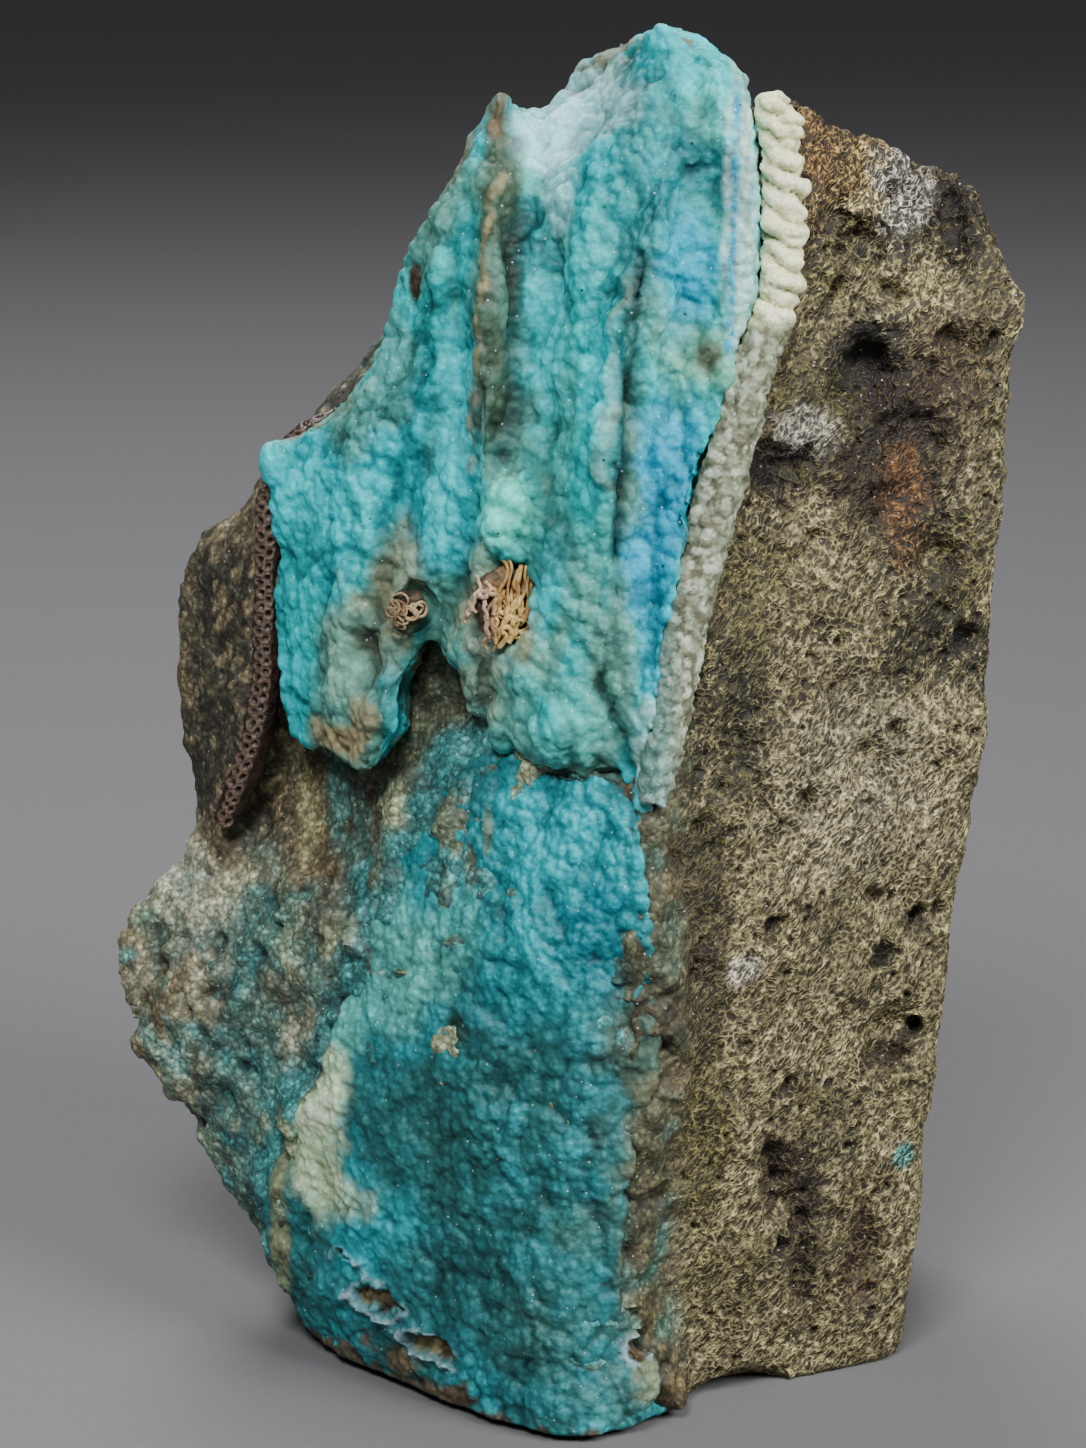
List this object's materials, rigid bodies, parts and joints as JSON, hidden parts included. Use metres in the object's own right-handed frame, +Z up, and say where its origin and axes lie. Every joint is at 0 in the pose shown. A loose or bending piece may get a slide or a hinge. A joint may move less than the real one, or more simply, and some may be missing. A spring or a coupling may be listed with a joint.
{
  "type": "botryoidal hemimorphite specimen",
  "caption": "Free-standing hand specimen of botryoidal hemimorphite: a turquoise crust hangs like a curtain over a block of khaki rock, above a teal lower crust",
  "frame": {"origin": "on the flat base, below the middle of the rock", "axes": "+Z up, -Y towards the blue show side, +X towards the khaki broken side"},
  "size_m": [0.0892, 0.0636, 0.1298],
  "materials": {
    "rock": "broken, porous, matte, khaki to dark brown",
    "blue_hemimorphite": "waxy botryoidal crust, slightly translucent turquoise",
    "teal_hemimorphite": "drusy, slightly translucent teal crust",
    "pale_rind": "sugary cream to grey beige",
    "brown_vein": "dark cellular brown, half gloss",
    "tan_boxwork": "skeletal tan cells, matte",
    "brown_boxwork": "skeletal brown cells, half gloss"
  },
  "bodies": {
    "root": {"matrix_rock": "rock", "blue_curtain": "blue_hemimorphite", "teal_apron": "teal_hemimorphite", "pale_rind": "pale_rind", "cellular_vein": "brown_vein", "tan_boxwork": "tan_boxwork", "brown_boxwork": "brown_boxwork"}
  },
  "joints": []
}
